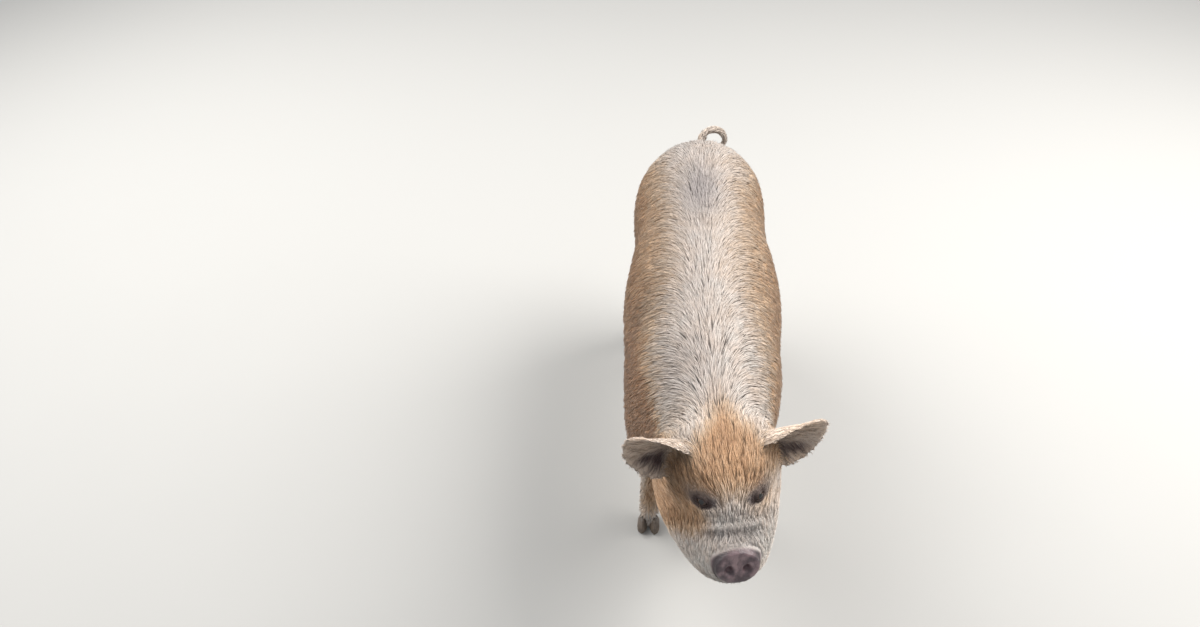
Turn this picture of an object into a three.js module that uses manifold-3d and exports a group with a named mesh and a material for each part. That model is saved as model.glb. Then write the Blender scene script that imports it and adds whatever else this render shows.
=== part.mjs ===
// A young kunekune pig standing square with its head raised, as a still, life-size model.
// Millimetres, +Z up. The pig faces -Y, so +X is its own left side. The origin lies on the
// floor, under the middle of the whole model.
//
// Every soft form is a field: a function that is negative inside the flesh. Masses of muscle
// and fat are blended into one field, and wrap() moves the vertices of a capsule out to its
// surface. The whole form is then parted with thin cuts where a person would name a part.
import * as THREE from "three";
import { mergeVertices } from "three/addons/utils/BufferGeometryUtils.js";
import Module from "manifold-3d";

const wasm = await Module();
wasm.setup();

// Driving dimensions, out to the tips of the coat
const GAP = 0.3; // left between neighbouring pieces
const BACK_HEIGHT = 530; // top of the back over the floor
const BELLY_HEIGHT = 184; // lowest point of the belly
const RIB_HALF_WIDTH = 145;
const SHOULDER_HALF_WIDTH = 120;
const HIP_HALF_WIDTH = 116;
const SHOULDER_Y = -140;
const HIP_Y = 330;
const HIP_SWAY = -9; // the hips stand a little to the pig's right
const RUMP_END_Y = 468;

const HEAD_AT = new THREE.Vector3(18, -335, 412); // middle of the skull, between the ears
const HEAD_TURN = 12; // degrees towards the pig's own left
const HEAD_DROP = 5; // degrees, nose down
const SKULL_HALF_WIDTH = 70;
const CHEEK_HALF_WIDTH = 84;
const SNOUT_REACH = 146; // middle of the skull to the snout disc
const DISC_WIDTH = 66;
const DISC_HEIGHT = 54;
const DISC_DEPTH = 13;
const DISC_LIFT = 24; // degrees that the disc faces up from the line of the mouth
const EYE_RADIUS = 10.5;
const EYE_DEPTH = 2.5; // the front of the eye below the face around it
const SOCKET_DEPTH = 5;
const EYE_OUTWARD = 42; // degrees from the nose line to the eye, seen from above
const EYE_UPWARD = 30; // degrees over the level, from the middle of the face
const SOCKET_HALF_SIZE = [19, 14, 12]; // across, deep and high
const SOCKET_SLANT = 12; // degrees that the inner corner of the eye hangs down
const NOSTRIL_HALF_SIZE = [6.5, 7, 8.5];
const NOSTRIL_OUT = 12.5; // middle of the disc to the middle of each nostril
const EAR_HALF_WIDTH = 46; // measured flat
const EAR_THICKNESS = 6;
const EAR_LOBE = 0.38; // how much wider than its root the lower lobe swells
const LOWER_CURL = [78, 26]; // degrees, at the root and at the tip of the ear
const UPPER_CURL = [150, 60];

const FOOT_HALF_SPREAD = 75; // middle line to the middle of each foot
const FRONT_FOOT_Y = -143;
const HIND_FOOT_Y = 342;
// The joints of a leg, from inside the trunk down to the hooves. Each is set in from the foot
// and behind it, at a height, with a radius of flesh.
const FRONT_JOINTS = [
  { inset: 8, behind: 8, height: 232, radius: 41 },
  { inset: 5, behind: 10, height: 186, radius: 35 },
  { inset: 2, behind: 4, height: 126, radius: 22 },
  { inset: 0, behind: 10, height: 60, radius: 18.5 },
  { inset: 0, behind: 2, height: 26, radius: 20 },
];
const HIND_JOINTS = [
  { inset: 8, behind: 2, height: 250, radius: 49 },
  { inset: 5, behind: 14, height: 206, radius: 41 },
  { inset: 2, behind: 42, height: 146, radius: 23 },
  { inset: 0, behind: 22, height: 62, radius: 18.5 },
  { inset: 0, behind: 6, height: 27, radius: 20 },
];
const ELBOW_HEIGHT = 218;
const STIFLE_HEIGHT = 238;
const LEG_TOP_SLOPE = 24; // degrees that the parting of a leg rises outward
const HOOF_WIDTH = 19;
const HOOF_LENGTH = 40;
const HOOF_HEIGHT = 25;
const HOOF_AHEAD = 12; // of the middle of the foot
const TOE_GAP = 3;
const TOE_SPLAY = 5; // degrees
const DEWCLAW_HEIGHT = 46; // its middle over the floor
const DEWCLAW_OUT = 13; // from the middle of the foot
const DEWCLAW_SPLAY = 20; // degrees
const FRONT_HEEL = 28; // dewclaws behind the middle of the foot
const HIND_HEEL = 38;
const TAIL_RADIUS = 10;

const GINGER = 0xbf8a50;
const CREAM = 0xcdbb9c;
const SNOUT_MAUVE = 0x7d6168;
const HORN_BROWN = 0x4a4038;
const EYE_BROWN = 0x1b1310;

const degrees = THREE.MathUtils.degToRad;
const mix = THREE.MathUtils.lerp;
const at = (x, y, z) => new THREE.Vector3(x, y, z);

// Fields: each gives a signed distance in millimetres, near enough for blending.

// An ellipsoid of flesh. lean turns it about X, in degrees, and swing about Z.
function mass(centre, radii, lean = 0, swing = 0) {
  const turn = new THREE.Quaternion()
    .setFromEuler(new THREE.Euler(degrees(lean), 0, degrees(swing), "ZXY"))
    .invert();
  const q = new THREE.Vector3();
  const [a, b, c] = radii;
  return (p) => {
    q.copy(p).sub(centre).applyQuaternion(turn);
    const near = Math.hypot(q.x / a, q.y / b, q.z / c);
    const steep = Math.hypot(q.x / (a * a), q.y / (b * b), q.z / (c * c));
    return steep < 1e-9 ? -Math.min(a, b, c) : (near * (near - 1)) / steep;
  };
}

// A rounded limb from one point to another, with a radius at each end.
function limb(from, to, fromRadius, toRadius) {
  const along = to.clone().sub(from);
  const q = new THREE.Vector3();
  return (p) => {
    q.copy(p).sub(from);
    const t = THREE.MathUtils.clamp(q.dot(along) / along.lengthSq(), 0, 1);
    return q.addScaledVector(along, -t).length() - mix(fromRadius, toRadius, t);
  };
}

// Several fields melted into one; soft is how far the fillets between them reach.
function blend(soft, ...fields) {
  return (p) =>
    fields.reduce((least, field) => {
      const d = field(p);
      const overlap = Math.max(soft - Math.abs(least - d), 0) / soft;
      return Math.min(least, d) - (overlap * overlap * soft) / 4;
    }, 1e6);
}

const grown = (field, by) => (p) => field(p) - by;

// The same form on the pig's left (side 1) and right (side -1).
const bothSides = (make) => [make(1), make(-1)];

// Between three.js geometry and manifold solids
function bare(geometry) {
  geometry.deleteAttribute("normal");
  geometry.deleteAttribute("uv");
  return mergeVertices(geometry, 1e-4);
}

function solid(geometry) {
  const merged = bare(geometry.clone());
  const triangles = [];
  for (let i = 0; i < merged.index.count; i += 3) {
    const [a, b, c] = [0, 1, 2].map((k) => merged.index.getX(i + k));
    if (a !== b && b !== c && c !== a) triangles.push(a, b, c);
  }
  const make = () =>
    new wasm.Manifold(
      new wasm.Mesh({
        numProp: 3,
        vertProperties: new Float32Array(merged.attributes.position.array),
        triVerts: new Uint32Array(triangles),
      }),
    );
  if (make().volume() < 0) triangles.reverse();
  return make();
}

function geometryOf(manifold) {
  const mesh = manifold.getMesh();
  const geometry = new THREE.BufferGeometry();
  geometry.setAttribute("position", new THREE.BufferAttribute(mesh.vertProperties, 3));
  geometry.setIndex(new THREE.BufferAttribute(mesh.triVerts, 1));
  geometry.computeVertexNormals();
  return geometry;
}

// How far a ray runs inside a field before it comes out.
function runInside(field, from, ray) {
  const probe = new THREE.Vector3();
  const value = (r) => field(probe.copy(from).addScaledVector(ray, r));
  let inside = 0;
  let outside = 0;
  while (value(outside) < 0) {
    inside = outside;
    outside += Math.max(-value(outside) * 0.6, 0.8);
  }
  for (let step = 0; step < 16; step++) {
    const middle = (inside + outside) / 2;
    if (value(middle) > 0) outside = middle;
    else inside = middle;
  }
  return inside;
}

// The surface of a field as a solid. The vertices of a capsule move out to the surface along
// rays from an axis inside it; the rays of its round ends lean over, to close in a pole.
function wrap(axis, field, { rings, segments, capRings, sideways = [1, 0, 0] }) {
  const shell = bare(new THREE.CapsuleGeometry(1, 1, capRings, segments, rings));
  const places = shell.attributes.position;
  const ray = new THREE.Vector3();
  for (let i = 0; i < places.count; i++) {
    const height = places.getY(i) + 0.5;
    const t = THREE.MathUtils.clamp(height, 0, 1);
    const tilt = Math.asin(THREE.MathUtils.clamp(height - t, -1, 1));
    const around = Math.atan2(places.getZ(i), places.getX(i));
    const centre = axis.getPoint(t);
    const forward = axis.getTangent(t);
    const across = at(...sideways);
    const rise = new THREE.Vector3().crossVectors(forward, across).normalize();
    across.crossVectors(rise, forward);
    ray.copy(across).multiplyScalar(Math.cos(around) * Math.cos(tilt));
    ray.addScaledVector(rise, Math.sin(around) * Math.cos(tilt));
    ray.addScaledVector(forward, Math.sin(tilt));
    centre.addScaledVector(ray, runInside(field, centre, ray));
    places.setXYZ(i, ...centre);
  }
  return solid(shell);
}

// A closed block with its own turn and place, used to part the whole form.
function block(size, centre, turn = new THREE.Quaternion()) {
  const box = new THREE.BoxGeometry(...size);
  box.applyQuaternion(turn);
  box.translate(centre.x, centre.y, centre.z);
  return solid(box);
}

// All of space behind a plane, near enough.
const REACH = 1600;
function behind(point, normal) {
  const n = normal.clone().normalize();
  const turn = new THREE.Quaternion().setFromUnitVectors(at(0, 0, 1), n);
  return block([REACH, REACH, REACH], point.clone().addScaledVector(n, -REACH / 2), turn);
}

// Parts a solid at a plane: the piece behind it, then the piece ahead, with the gap between.
function part(whole, point, normal) {
  const n = normal.clone().normalize();
  return [
    whole.intersect(behind(point.clone().addScaledVector(n, -GAP / 2), n)),
    whole.subtract(behind(point.clone().addScaledVector(n, GAP / 2), n)),
  ];
}

const pig = new THREE.Group();
function add(name, manifold, colour, roughness = 0.85) {
  const material = new THREE.MeshStandardMaterial({ color: colour, roughness, metalness: 0 });
  const mesh = new THREE.Mesh(geometryOf(manifold), material);
  mesh.name = name;
  pig.add(mesh);
}

// The head has a frame of its own: the nose along -Y, the mouth level.
const headFrame = new THREE.Matrix4().compose(
  HEAD_AT,
  new THREE.Quaternion().setFromEuler(
    new THREE.Euler(degrees(HEAD_DROP), 0, degrees(HEAD_TURN), "ZXY"),
  ),
  at(1, 1, 1),
);
const intoHead = headFrame.clone().invert();
const onHead = (x, y, z) => at(x, y, z).applyMatrix4(headFrame);
const alongHead = (x, y, z) => at(x, y, z).transformDirection(headFrame);
const inHead = (field) => {
  const q = new THREE.Vector3();
  return (p) => field(q.copy(p).applyMatrix4(intoHead));
};

// Trunk: ribs, belly, a broad level back, hams and shoulders
const backRadius = 100;
const backAxis = BACK_HEIGHT - backRadius;
const trunkField = blend(
  70,
  limb(at(0, SHOULDER_Y, backAxis - 14), at(HIP_SWAY, HIP_Y - 25, backAxis - 4), backRadius - 8, backRadius),
  mass(at(0, SHOULDER_Y + 90, 330), [SHOULDER_HALF_WIDTH - 8, 180, 142]),
  mass(at(0, 92, BELLY_HEIGHT + 152), [RIB_HALF_WIDTH - 6, 228, 150]),
  mass(at(HIP_SWAY, HIP_Y - 6, 380), [112, RUMP_END_Y - HIP_Y + 2, 112], 12),
  ...bothSides((s) => mass(at(HIP_SWAY + s * (HIP_HALF_WIDTH - 62), HIP_Y + 4, 300), [50, 98, 112], 10)),
  ...bothSides((s) => mass(at(s * (SHOULDER_HALF_WIDTH - 54), SHOULDER_Y + 6, 300), [44, 82, 106], -12)),
  mass(at(0, SHOULDER_Y - 45, 285), [62, 70, 80]),
  ...bothSides((s) => mass(at(s * 66, FRONT_FOOT_Y + 8, 232), [36, 46, 58])),
  ...bothSides((s) => mass(at(s * 68, HIND_FOOT_Y + 2, 250), [40, 60, 70], 12)),
);

const neckField = blend(
  50,
  limb(at(0, SHOULDER_Y - 20, 406), HEAD_AT.clone().add(at(-2, 44, -8)), 98, 88),
  limb(at(0, SHOULDER_Y - 20, 325), onHead(0, 20, -62), 92, 70),
);

// Head, in its own frame
const discMiddle = at(0, -SNOUT_REACH, -38);
const muzzleField = blend(
  30,
  limb(at(0, -76, -36), at(0, 31, 1).add(discMiddle), 50, DISC_HEIGHT / 2 + 1),
  ...bothSides((s) => mass(at(s * 24, -86, -58), [38, 58, 38], 0, s * -8)),
  mass(at(0, -72, -86), [46, 64, 32], -6),
);
const faceField = blend(
  32,
  mass(at(0, 4, 0), [SKULL_HALF_WIDTH, 78, 66]),
  mass(at(0, -34, 12), [58, 50, 40], 28),
  ...bothSides((s) => mass(at(s * (CHEEK_HALF_WIDTH - 40), -26, -50), [41, 66, 56], 8)),
  muzzleField,
);
const browedField = blend(
  14,
  faceField,
  ...bothSides((s) => mass(at(s * 34, -57, 21), [22, 20, 10], 20, s * 24)),
  ...bothSides((s) => mass(at(s * 38, -72, -19), [20, 22, 12], 0, s * 28)),
);
const headField = inHead(browedField);

const bodyField = blend(60, trunkField, blend(44, neckField, headField));
const bodyAxis = new THREE.CatmullRomCurve3(
  [
    at(0, RUMP_END_Y - 100, 385),
    at(0, 270, 360),
    at(0, 140, 350),
    at(0, 10, 350),
    at(0, -110, 355),
    at(6, -210, 370),
    onHead(0, 40, -28),
    onHead(0, 0, -30),
    onHead(0, -36, -34),
    onHead(0, -70, -40),
    onHead(0, -100, -44),
    onHead(0, -128, -44),
  ],
  false,
  "centripetal",
);
const BODY_MESH = { rings: 36, segments: 28, capRings: 4 };
const torso = wrap(bodyAxis, bodyField, BODY_MESH);
const torsoClear = wrap(bodyAxis, grown(bodyField, GAP), BODY_MESH);

// Legs: each is a chain of joints from inside the trunk down to the hooves.
function leg(s, footY, joints) {
  const places = joints.map(({ inset, behind, height }) =>
    at(s * (FOOT_HALF_SPREAD - inset), footY + behind, height),
  );
  const chain = places
    .slice(1)
    .map((to, i) => limb(places[i], to, joints[i].radius, joints[i + 1].radius));
  const axis = new THREE.CatmullRomCurve3(places, false, "centripetal");
  return wrap(axis, blend(4, ...chain), { rings: 14, segments: 11, capRings: 2 });
}

// The region that a leg is parted from the trunk by. Its top rises outward, as the elbow does.
function legRegion(s, y, top, clearance = 0) {
  const size = [150, 160, 800].map((side) => side + 2 * clearance);
  const rise = degrees(LEG_TOP_SLOPE);
  const slope = at(-s * Math.sin(rise), 0, Math.cos(rise));
  const roof = at(s * FOOT_HALF_SPREAD, y, top).addScaledVector(slope, clearance);
  return block(size, at(s * 84, y + 8, 0)).intersect(behind(roof, slope));
}

// Hooves: two main claws that carry the foot, and two dewclaws behind the fetlock.
// The flesh is hollowed by the same horn made larger by a clearance.
function claw(x, y, splay, clearance = 0) {
  const horn = mass(at(x, y, 6), [HOOF_WIDTH / 2, HOOF_LENGTH / 2 + 2, HOOF_HEIGHT], 16, splay);
  const axis = new THREE.LineCurve3(at(x, y + 8, 4), at(x, y - 8, 4));
  return wrap(axis, grown(horn, clearance), { rings: 1, segments: 8, capRings: 2 })
    .intersect(behind(at(0, 0, HOOF_HEIGHT + clearance), at(0, 0, 1)))
    .subtract(behind(at(0, 0, 0), at(0, 0, 1)));
}

function dewclaw(x, y, splay, clearance = 0) {
  const horn = mass(at(x, y, DEWCLAW_HEIGHT), [6.5, 8, 13], -24, splay);
  const axis = new THREE.LineCurve3(at(x, y, DEWCLAW_HEIGHT + 3), at(x, y, DEWCLAW_HEIGHT - 3));
  return wrap(axis, grown(horn, clearance), { rings: 1, segments: 6, capRings: 1 });
}

const soleCut = behind(at(0, 0, HOOF_HEIGHT * 0.45), at(0, 0, 1));
const feet = [];
for (const [place, joints, y, top, heel] of [
  ["front", FRONT_JOINTS, FRONT_FOOT_Y, ELBOW_HEIGHT, FRONT_HEEL],
  ["hind", HIND_JOINTS, HIND_FOOT_Y, STIFLE_HEIGHT, HIND_HEEL],
]) {
  for (const [side, s] of [["left", 1], ["right", -1]]) {
    const whole = leg(s, y, joints).subtract(soleCut);
    feet.push({ name: `${place}_${side}`, s, y, top, heel, whole });
  }
}

const standing = feet.reduce((whole, foot) => whole.add(foot.whole), torso);
let legless = standing;
for (const foot of feet) {
  legless = legless.subtract(legRegion(foot.s, foot.y, foot.top, GAP));
  let flesh = standing.intersect(legRegion(foot.s, foot.y, foot.top));
  const x = foot.s * FOOT_HALF_SPREAD;
  for (const toe of [-1, 1]) {
    const edge = toe === foot.s ? "outer" : "inner";
    const hoof = (clearance) =>
      claw(x + (toe * (HOOF_WIDTH + TOE_GAP)) / 2, foot.y - HOOF_AHEAD, toe * TOE_SPLAY, clearance);
    const spur = (clearance) =>
      dewclaw(x + toe * DEWCLAW_OUT, foot.y + foot.heel, toe * DEWCLAW_SPLAY, clearance);
    add(`hoof_${foot.name}_${edge}`, hoof(0), HORN_BROWN, 0.6);
    add(`dewclaw_${foot.name}_${edge}`, spur(0), HORN_BROWN, 0.6);
    flesh = flesh.subtract(hoof(GAP)).subtract(spur(GAP));
  }
  add(`leg_${foot.name}`, flesh, CREAM);
}

// Ears: broad leaves curled into a trough that opens forward. The leaf is laid out on the
// longitude and latitude of a sphere: across the leaf and along it. The upper half rolls over
// tightly and the lower half hangs as an open lobe. Each ear has its own swing about its root
// and its own raise, in degrees: the right one is turned further forward and carried higher.
const earRoot = at(44, 10, 30);
const earSpine = new THREE.CatmullRomCurve3([earRoot, at(78, 8, 44), at(116, 3, 56), at(146, -4, 85)]);
const earOpening = at(0.15, -0.95, 0.2).normalize();
function ear(s, swing, raise) {
  const leaf = bare(new THREE.SphereGeometry(1, 16, 10));
  const places = leaf.attributes.position;
  for (let i = 0; i < places.count; i++) {
    const along = Math.acos(THREE.MathUtils.clamp(places.getY(i), -1, 1)) / Math.PI;
    const ring = Math.hypot(places.getX(i), places.getZ(i)) || 1;
    const across = places.getX(i) / ring;
    const face = places.getZ(i) / ring;
    const lower = across > 0;
    const lobe = lower ? 0.8 + EAR_LOBE * Math.sin(Math.PI * along) : 1;
    const width = EAR_HALF_WIDTH * lobe * Math.sin(Math.PI * mix(0.3, 0.985, along)) ** 0.75;
    const curl = degrees(mix(...(lower ? LOWER_CURL : UPPER_CURL), along));
    const bend = (across * width * curl) / EAR_HALF_WIDTH;
    const radius = EAR_HALF_WIDTH / curl;
    const spine = earSpine.getPoint(along);
    const out = earSpine.getTangent(along);
    const open = earOpening.clone().addScaledVector(out, -earOpening.dot(out)).normalize();
    const wide = new THREE.Vector3().crossVectors(out, open);
    const normal = open.clone().multiplyScalar(-Math.cos(bend)).addScaledVector(wide, Math.sin(bend));
    spine.addScaledVector(open, radius).addScaledVector(normal, radius + (face * EAR_THICKNESS) / 2);
    spine.sub(earRoot).applyAxisAngle(at(0, 0, 1), degrees(-swing));
    spine.applyAxisAngle(at(0, 1, 0), degrees(-raise)).add(earRoot);
    places.setXYZ(i, spine.x * s, spine.y, spine.z);
  }
  leaf.applyMatrix4(headFrame);
  return solid(leaf);
}
add("ear_left", ear(1, 0, 0).subtract(torsoClear), CREAM);
add("ear_right", ear(-1, 4, 7).subtract(torsoClear), CREAM);

// Eyes: round, deep in a shallow socket between the brow and the cheek
const faceMiddle = at(0, -26, -16);
for (const [side, s] of [["left", 1], ["right", -1]]) {
  const gaze = at(0, -1, 0).applyAxisAngle(at(-1, 0, 0), degrees(EYE_UPWARD));
  gaze.applyAxisAngle(at(0, 0, 1), degrees(s * EYE_OUTWARD));
  const depth = runInside(browedField, faceMiddle, gaze);
  const place = (out) => onHead(...faceMiddle.clone().addScaledVector(gaze, depth + out));
  const ball = (radius) => {
    const sphere = new THREE.SphereGeometry(radius, 12, 8);
    return solid(sphere.translate(...place(-EYE_RADIUS - EYE_DEPTH)));
  };
  const socket = new THREE.SphereGeometry(1, 14, 8).scale(...SOCKET_HALF_SIZE);
  socket.rotateZ(degrees(-s * SOCKET_SLANT)).rotateZ(degrees(s * EYE_OUTWARD));
  socket.applyMatrix4(new THREE.Matrix4().extractRotation(headFrame));
  socket.translate(...place(SOCKET_HALF_SIZE[1] - SOCKET_DEPTH));
  legless = legless.subtract(solid(socket)).subtract(ball(EYE_RADIUS + GAP));
  add(`eye_${side}`, ball(EYE_RADIUS), EYE_BROWN, 0.15);
}

// Snout disc: a flat oval of bare skin with a raised rim and two nostrils
const discProfile = [
  [0, -DISC_DEPTH],
  [0.86, -DISC_DEPTH],
  [1, -DISC_DEPTH * 0.3],
  [0.93, 0.6],
  [0.78, 0.2],
  [0, -1.2],
];
function discShape(clearance) {
  const outline = discProfile.map(([r, h]) => new THREE.Vector2(r, h + Math.sign(h) * clearance));
  const shape = new THREE.LatheGeometry(outline, 24);
  shape.scale(DISC_WIDTH / 2 + clearance, 1, DISC_HEIGHT / 2 + clearance);
  shape.rotateX(Math.PI - degrees(DISC_LIFT));
  shape.translate(...discMiddle);
  shape.applyMatrix4(headFrame);
  return solid(shape);
}
const discOut = at(0, -Math.cos(degrees(DISC_LIFT)), Math.sin(degrees(DISC_LIFT)));
let snoutDisc = discShape(0);
for (const s of [1, -1]) {
  const nostril = new THREE.SphereGeometry(1, 10, 6).scale(...NOSTRIL_HALF_SIZE);
  nostril.translate(s * NOSTRIL_OUT, discMiddle.y + discOut.y * 2, discMiddle.z - 2);
  nostril.applyMatrix4(headFrame);
  snoutDisc = snoutDisc.subtract(solid(nostril));
}
add("snout_disc", snoutDisc, SNOUT_MAUVE, 0.5);
const discFace = onHead(...discMiddle).addScaledVector(alongHead(...discOut), -DISC_DEPTH / 2);
legless = legless.subtract(discShape(GAP)).intersect(behind(discFace, alongHead(...discOut)));

// Tail: springs from the top of the rump and curls over in one loop to the left
const tailPath = new THREE.CatmullRomCurve3([
  at(-2, RUMP_END_Y - 26, 428),
  at(-8, RUMP_END_Y, 436),
  at(-7, RUMP_END_Y + 13, 452),
  at(8, RUMP_END_Y + 18, 465),
  at(28, RUMP_END_Y + 17, 465),
  at(41, RUMP_END_Y + 14, 449),
  at(33, RUMP_END_Y + 17, 430),
  at(14, RUMP_END_Y + 24, 427),
]);
const beads = tailPath.getPoints(16);
const taper = (i) => mix(TAIL_RADIUS, TAIL_RADIUS * 0.5, i / (beads.length - 1));
const tailChain = beads.slice(1).map((to, i) => limb(beads[i], to, taper(i), taper(i + 1)));
const tail = wrap(tailPath, blend(2, ...tailChain), {
  rings: 18,
  segments: 8,
  capRings: 2,
  sideways: [0, 1, 0],
});
add("tail", tail.subtract(torsoClear), CREAM);

// Parting: trunk, neck, head, muzzle and lower jaw
const [trunk, foreEnd] = part(legless, at(0, SHOULDER_Y - 58, 400), at(0, -1, -0.22));
const [neck, face] = part(foreEnd, onHead(0, 36, 0), alongHead(0, -1, -0.1));
const [head, nose] = part(face, onHead(0, -88, -40), alongHead(0, -1, -0.1));
const [lowerJaw, muzzle] = part(nose, onHead(0, -SNOUT_REACH + 10, -76), alongHead(0, 0.12, 1));
add("trunk", trunk, GINGER);
add("neck", neck, GINGER);
add("head", head, GINGER);
add("muzzle", muzzle, CREAM);
add("lower_jaw", lowerJaw, CREAM);

// The origin comes to the floor under the middle of the model.
const middle = new THREE.Box3().setFromObject(pig).getCenter(at(0, 0, 0));
pig.position.set(-middle.x, -middle.y, 0);

export default pig;
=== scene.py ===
# A young kunekune pig standing square with its head raised, as a life-size still model.
# One hide is drawn over the solids of flesh and sunk below them by the depth of the coat. Eyes
# and hooves are set into it, and the coat is laid over it in locks that follow the lie of hair.
import math

import bmesh
import bpy
import numpy as np
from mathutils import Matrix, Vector
from mathutils.bvhtree import BVHTree
from mathutils.kdtree import KDTree


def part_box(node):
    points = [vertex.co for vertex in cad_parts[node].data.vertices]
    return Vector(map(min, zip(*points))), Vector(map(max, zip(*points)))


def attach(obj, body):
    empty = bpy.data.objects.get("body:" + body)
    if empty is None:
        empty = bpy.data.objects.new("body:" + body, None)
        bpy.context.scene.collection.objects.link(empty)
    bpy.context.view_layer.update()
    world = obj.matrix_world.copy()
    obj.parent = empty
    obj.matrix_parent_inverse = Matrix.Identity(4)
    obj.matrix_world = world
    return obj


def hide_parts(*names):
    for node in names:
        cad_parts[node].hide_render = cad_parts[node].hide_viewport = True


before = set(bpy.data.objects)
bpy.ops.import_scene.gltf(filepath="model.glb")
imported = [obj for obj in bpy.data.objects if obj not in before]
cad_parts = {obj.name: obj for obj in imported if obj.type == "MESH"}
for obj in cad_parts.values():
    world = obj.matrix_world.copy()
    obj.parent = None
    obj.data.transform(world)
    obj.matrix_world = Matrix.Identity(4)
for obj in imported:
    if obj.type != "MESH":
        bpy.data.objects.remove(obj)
bpy.context.view_layer.update()
rng = np.random.default_rng(7)


# The view: from a standing onlooker's chest height, down over the pig's head and back, through
# a lens of medium width. Nothing is shifted or thrown out of focus.
LENS_MM = 28.5
SENSOR_MM = 36
VIEWED_FROM = (-0.0934, -1.2185, 1.4805)
VIEW_PITCH = 48
VIEW_YAW = 4.52
eye_level = bpy.data.cameras.new("camera")
eye_level.lens = LENS_MM
eye_level.sensor_width = SENSOR_MM
camera = bpy.data.objects.new("camera", eye_level)
camera.location = VIEWED_FROM
camera.rotation_euler = (math.radians(VIEW_PITCH), 0, math.radians(VIEW_YAW))
bpy.context.scene.collection.objects.link(camera)
bpy.context.scene.camera = camera


# The hide's form: every solid of flesh is welded, thickened by a hair so that neighbours
# overlap, and drawn over with one closed surface. The hooves and eyes are drawn over as well,
# so that the hide runs down inside the hooves and close round the eyes.
WELD = 1e-6
OVERLAP = 0.0004
HIDE_GRAIN = 0.0025


def joined_solids(nodes):
    whole = bmesh.new()
    owners = []
    for node_name in nodes:
        solid = bmesh.new()
        solid.from_mesh(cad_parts[node_name].data)
        bmesh.ops.remove_doubles(solid, verts=solid.verts, dist=WELD)
        solid.normal_update()
        for v in solid.verts:
            v.co += v.normal * OVERLAP
        thickened = bpy.data.meshes.new(node_name)
        solid.to_mesh(thickened)
        solid.free()
        owners += [node_name] * len(thickened.polygons)
        whole.from_mesh(thickened)
        bpy.data.meshes.remove(thickened)
    return whole, owners


def shown(name, mesh):
    piece = bpy.data.objects.new(name, mesh)
    bpy.context.scene.collection.objects.link(piece)
    return piece


def with_modifier(piece, kind, **settings):
    step = piece.modifiers.new(kind.lower(), kind)
    for key, value in settings.items():
        setattr(step, key, value)
    graph = bpy.context.evaluated_depsgraph_get()
    made = bpy.data.meshes.new_from_object(piece.evaluated_get(graph))
    piece.modifiers.clear()
    piece.data = made


solids, owners = joined_solids(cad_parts)
nearest_solid = BVHTree.FromBMesh(solids)
raw = bpy.data.meshes.new("skin")
solids.to_mesh(raw)
skin = shown("skin", raw)
with_modifier(skin, "REMESH", mode="VOXEL", voxel_size=HIDE_GRAIN)


# Regions of the hide, each a weight from 0 to 1 that fades over its border. They set the
# fairing, the depth of the coat, the lie of the hair and the markings.
REGIONS = {
    "trunk": "trunk", "neck": "neck", "head": "head", "muzzle": "muzzle", "lower_jaw": "muzzle",
    "snout": "disc", "ear": "ear", "leg": "leg", "tail": "tail", "hoof": "horn",
    "dewclaw": "leg", "eye": "head",
}
REGION_NAMES = sorted(set(REGIONS.values()))
region_of = [REGION_NAMES.index(REGIONS[o if o in REGIONS else o.split("_")[0]]) for o in owners]


class Web:
    """The edges of a mesh, for spreading values from each point to its neighbours."""

    def __init__(self, mesh):
        ends = np.empty(len(mesh.edges) * 2, dtype=np.int64)
        mesh.edges.foreach_get("vertices", ends)
        a, b = ends.reshape(-1, 2).T
        self.start = np.concatenate([a, b])
        self.end = np.concatenate([b, a])
        self.size = len(mesh.vertices)
        self.count = np.maximum(np.bincount(self.start, minlength=self.size), 1)

    def mean(self, values):
        return np.stack(
            [np.bincount(self.start, v[self.end], self.size) / self.count for v in values.T], 1
        )

    def relax(self, values, rounds, strength=0.5):
        flat = values.ndim == 1
        values = values[:, None] if flat else values
        for _ in range(rounds):
            values = values + strength * (self.mean(values) - values)
        return values[:, 0] if flat else values


def region_weights(mesh, web, rounds):
    owner = [region_of[nearest_solid.find_nearest(v.co)[2]] for v in mesh.vertices]
    sharp = np.eye(len(REGION_NAMES))[owner]
    return dict(zip(REGION_NAMES, web.relax(sharp, rounds).T))


def by_region(weights, **values):
    return sum(weights[name] * value for name, value in values.items())


# Fairing: the flats of the solids are rounded off, most on the trunk and where it meets the head
# and legs, while the ears keep their outline. Then the hide is sunk by the depth of the coat.
REGION_FADE = 20
FAIRING_ROUNDS = dict(trunk=110, neck=80, head=16, muzzle=14, disc=2, ear=8, leg=16, tail=5, horn=2)
FAIRING_STRENGTH = 0.6
BORDER_ROUNDS = 260
SHRINKAGE_SPREAD = 60
EAR_SPREAD = 5
THIGH_FROM = 0.13
THIGH_FULL = 0.24
COAT_DEPTH = dict(
    trunk=0.009, neck=0.008, head=0.004, muzzle=0.0022, disc=0.0003, ear=0.0007, leg=0.0035,
    tail=0.0018, horn=0.003,
)


def places(mesh):
    found = np.empty(len(mesh.vertices) * 3)
    mesh.vertices.foreach_get("co", found)
    return found.reshape(-1, 3)


def normals(mesh):
    found = np.empty(len(mesh.vertices) * 3)
    mesh.vertices.foreach_get("normal", found)
    return found.reshape(-1, 3)


def move_to(mesh, spots):
    mesh.vertices.foreach_set("co", np.ascontiguousarray(spots, dtype=np.float32).ravel())
    mesh.update()


def smoothstep(low, high, x):
    t = np.clip((x - low) / (high - low), 0, 1)
    return t * t * (3 - 2 * t)


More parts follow.
